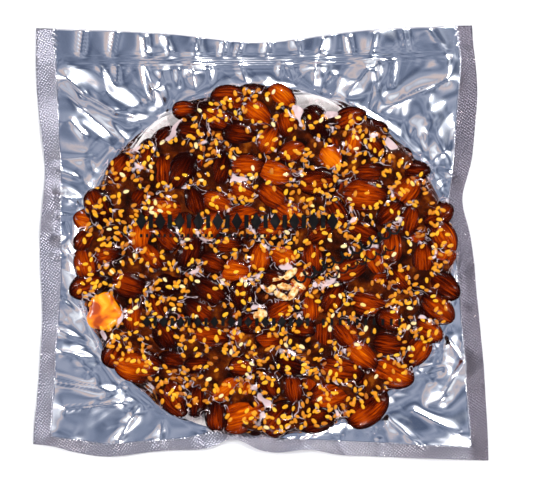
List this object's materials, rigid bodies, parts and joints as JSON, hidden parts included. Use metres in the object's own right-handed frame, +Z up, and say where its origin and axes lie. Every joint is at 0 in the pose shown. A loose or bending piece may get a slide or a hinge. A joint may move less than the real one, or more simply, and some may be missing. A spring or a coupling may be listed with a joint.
{
  "type": "vacuum-packed almond and sesame brittle",
  "caption": "Round almond and sesame brittle cake sealed under vacuum in a flat square pouch with a silver back and a clear front film.",
  "frame": {"origin": "middle of the pouch's bounding box, on the flat underside that it rests on", "axes": "+Z up through the clear front, +Y towards the pouch's open lip, +X to the right as the front is looked at"},
  "size_m": [0.25, 0.239, 0.0124],
  "materials": {
    "silver_laminate": "metallised film, glossy, with a fine dimpled emboss in the weld bands",
    "clear_film": "clear glossy film, drawn tight over the nuts",
    "almond": "brown grooved almond skin under a glossy caramel glaze",
    "sesame": "toasted golden seeds, glazed",
    "caramel": "clear dark amber boiled sugar, glossy",
    "wafer": "dull white ribbed wafer",
    "ink": "thin black ink printed on the film"
  },
  "bodies": {
    "root": {"silver_back_film": "silver_laminate", "clear_front_with_brittle": "clear_film"}
  },
  "joints": []
}
